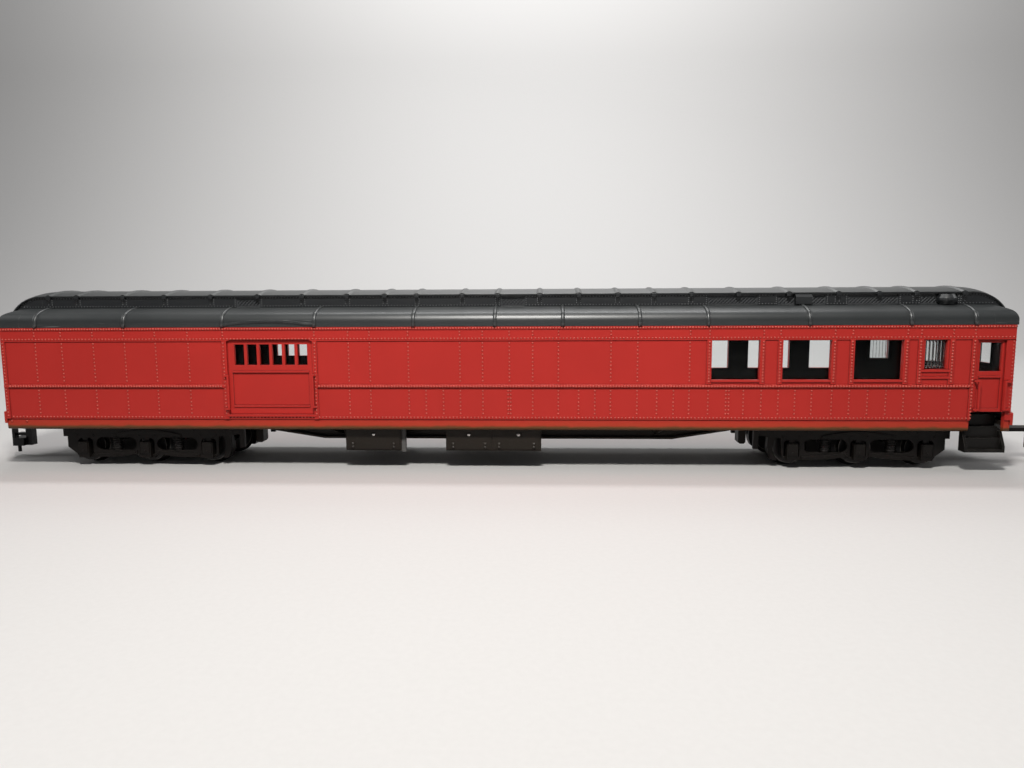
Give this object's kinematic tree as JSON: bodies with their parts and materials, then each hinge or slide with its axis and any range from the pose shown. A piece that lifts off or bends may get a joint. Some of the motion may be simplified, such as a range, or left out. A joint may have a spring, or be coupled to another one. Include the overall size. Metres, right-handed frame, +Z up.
{
  "type": "model railway combine car",
  "caption": "Scale model of a riveted heavyweight combine car: baggage door at one end, windows and vestibule at the other, on six-wheel trucks.",
  "frame": {"origin": "middle of the car between its ends and sides, at the lowest point of the wheel flanges", "axes": "+X along the car towards the vestibule end, +Y across the car to its far side, +Z up"},
  "size_m": [0.3142, 0.0368, 0.0513],
  "materials": {
    "body_red": "satin painted plastic",
    "roof_grey": "satin dark grey painted plastic",
    "clerestory_black": "satin near-black painted plastic",
    "underframe_black": "bare moulded black plastic",
    "truck_black": "bare moulded black plastic",
    "wheel_black": "moulded black plastic, treads worn bright",
    "coupler_black": "bare moulded black plastic",
    "screw_steel": "plain steel",
    "window_glass": "clear plastic",
    "fluted_glass": "clear plastic moulded in upright flutes"
  },
  "bodies": {
    "car_body": {"side_wall_near": "body_red", "side_wall_far": "body_red", "baggage_doors": "body_red", "vestibule_doors": "body_red", "vestibule_end_wall": "body_red", "baggage_end_wall": "body_red", "hand_rails": "body_red", "end_doors": "body_red", "diaphragms": "underframe_black", "end_sills": "body_red", "lower_deck_roof": "roof_grey", "clerestory_roof": "roof_grey", "roof_ends": "roof_grey", "vent_screens": "clerestory_black", "roof_vents": "roof_grey", "window_glass": "window_glass", "lavatory_glass": "fluted_glass", "floor_pan": "underframe_black", "centre_sill": "underframe_black", "hanger_brackets": "underframe_black", "battery_boxes": "underframe_black", "drain_pipes": "screw_steel", "vestibule_steps": "underframe_black", "king_pins": "screw_steel"},
    "baggage_truck": {"baggage_truck_side_frames": "truck_black", "baggage_truck_bolster": "truck_black", "baggage_truck_tongue": "truck_black"},
    "baggage_wheelset_inner": {"baggage_wheelset_inner": "wheel_black"},
    "baggage_wheelset_middle": {"baggage_wheelset_middle": "wheel_black"},
    "baggage_wheelset_outer": {"baggage_wheelset_outer": "wheel_black"},
    "baggage_coupler": {"baggage_coupler": "coupler_black"},
    "vestibule_truck": {"vestibule_truck_side_frames": "truck_black", "vestibule_truck_bolster": "truck_black", "vestibule_truck_tongue": "truck_black"},
    "vestibule_wheelset_inner": {"vestibule_wheelset_inner": "wheel_black"},
    "vestibule_wheelset_middle": {"vestibule_wheelset_middle": "wheel_black"},
    "vestibule_wheelset_outer": {"vestibule_wheelset_outer": "wheel_black"},
    "vestibule_coupler": {"vestibule_coupler": "coupler_black"}
  },
  "joints": [
    {"name": "baggage_truck_swivel", "type": "hinge", "parent": "car_body", "child": "baggage_truck", "pos_m": [-0.1025, 0, 0.0112], "axis": [0, 0, 1], "range_deg": [-13, 13]},
    {"name": "baggage_wheelset_inner_spin", "type": "hinge", "parent": "baggage_truck", "child": "baggage_wheelset_inner", "pos_m": [-0.084, 0, 0.0055], "axis": [0, 1, 0], "continuous": true},
    {"name": "baggage_wheelset_middle_spin", "type": "hinge", "parent": "baggage_truck", "child": "baggage_wheelset_middle", "pos_m": [-0.1025, 0, 0.0055], "axis": [0, 1, 0], "continuous": true},
    {"name": "baggage_wheelset_outer_spin", "type": "hinge", "parent": "baggage_truck", "child": "baggage_wheelset_outer", "pos_m": [-0.121, 0, 0.0055], "axis": [0, 1, 0], "continuous": true},
    {"name": "baggage_coupler_swing", "type": "hinge", "parent": "baggage_truck", "child": "baggage_coupler", "pos_m": [-0.1466, 0, 0.006], "axis": [0, 0, 1], "range_deg": [-12, 12], "stiffness_Nm_per_rad": 0.0002},
    {"name": "vestibule_truck_swivel", "type": "hinge", "parent": "car_body", "child": "vestibule_truck", "pos_m": [0.1025, 0, 0.0112], "axis": [0, 0, 1], "range_deg": [-13, 13]},
    {"name": "vestibule_wheelset_inner_spin", "type": "hinge", "parent": "vestibule_truck", "child": "vestibule_wheelset_inner", "pos_m": [0.084, 0, 0.0055], "axis": [0, 1, 0], "continuous": true},
    {"name": "vestibule_wheelset_middle_spin", "type": "hinge", "parent": "vestibule_truck", "child": "vestibule_wheelset_middle", "pos_m": [0.1025, 0, 0.0055], "axis": [0, 1, 0], "continuous": true},
    {"name": "vestibule_wheelset_outer_spin", "type": "hinge", "parent": "vestibule_truck", "child": "vestibule_wheelset_outer", "pos_m": [0.121, 0, 0.0055], "axis": [0, 1, 0], "continuous": true},
    {"name": "vestibule_coupler_swing", "type": "hinge", "parent": "vestibule_truck", "child": "vestibule_coupler", "pos_m": [0.1576, 0, 0.006], "axis": [0, 0, 1], "range_deg": [-12, 12], "stiffness_Nm_per_rad": 0.0002}
  ]
}
